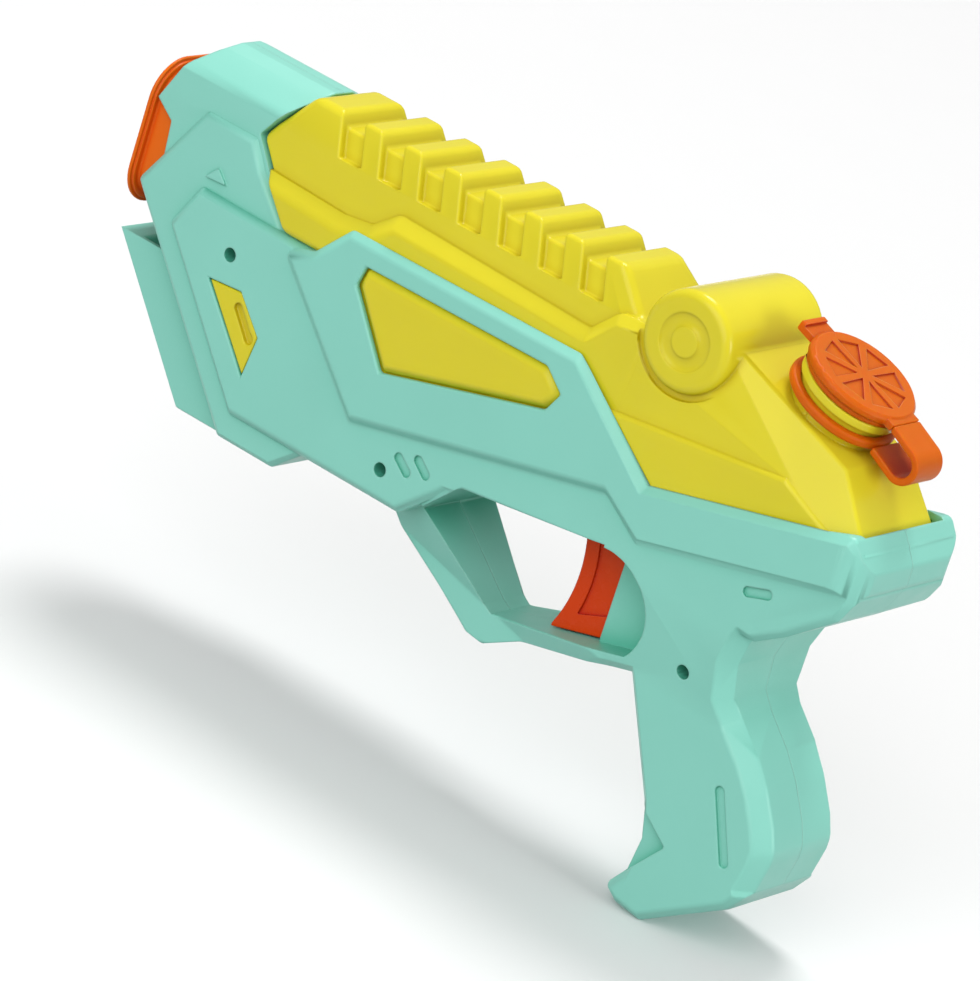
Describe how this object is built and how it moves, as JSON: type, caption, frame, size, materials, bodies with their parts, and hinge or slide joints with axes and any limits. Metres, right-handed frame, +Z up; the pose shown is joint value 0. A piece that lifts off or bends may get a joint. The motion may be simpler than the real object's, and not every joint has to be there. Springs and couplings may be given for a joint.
{
  "type": "toy water squirter",
  "caption": "Toy water squirter with teal shells, a yellow tank on top, a stopper cap on a strap, and an orange trigger that works a small piston pump.",
  "frame": {"origin": "middle of the length and width, at the lowest point of the grip", "axes": "the muzzle points to -X and the tail to +X, Y runs across, +Z is up"},
  "size_m": [0.255, 0.049, 0.1626],
  "materials": {
    "teal_abs": "satin",
    "yellow_pp": "gloss",
    "orange_abs": "satin",
    "orange_pe": "soft satin",
    "natural_pom": "satin",
    "steel": "zinc plated",
    "rubber": "matt",
    "clear_vinyl": "clear vinyl"
  },
  "bodies": {
    "body": {"left_shell": "teal_abs", "right_shell": "teal_abs", "water_tank": "yellow_pp", "left_inlay": "yellow_pp", "right_inlay": "yellow_pp", "shell_screws": "steel", "muzzle_bezel": "orange_abs", "nozzle_jet": "natural_pom", "jet_seal": "rubber", "cap_strap": "orange_pe", "strap_ring": "orange_pe", "pump_cylinder": "natural_pom", "pump_gland": "natural_pom", "return_spring": "steel", "inlet_valve": "rubber", "outlet_valve": "rubber", "outlet_elbow": "natural_pom", "inlet_hose": "clear_vinyl", "outlet_hose": "clear_vinyl"},
    "trigger": {"trigger": "orange_abs", "piston": "natural_pom", "piston_seal": "rubber"},
    "cap": {"filler_cap": "orange_pe"}
  },
  "joints": [
    {"name": "trigger_pull", "type": "slide", "parent": "body", "child": "trigger", "axis": [0.9659, 0, 0.2588], "range_m": [0, 0.011], "stiffness_N_per_m": 300, "springref_m": -0.006, "deforming": ["return_spring"]},
    {"name": "cap_hinge", "type": "hinge", "parent": "body", "child": "cap", "pos_m": [0.11755, 0, 0.14138], "axis": [0, 1, 0], "range_deg": [0, 110], "deforming": ["cap_strap"]}
  ]
}
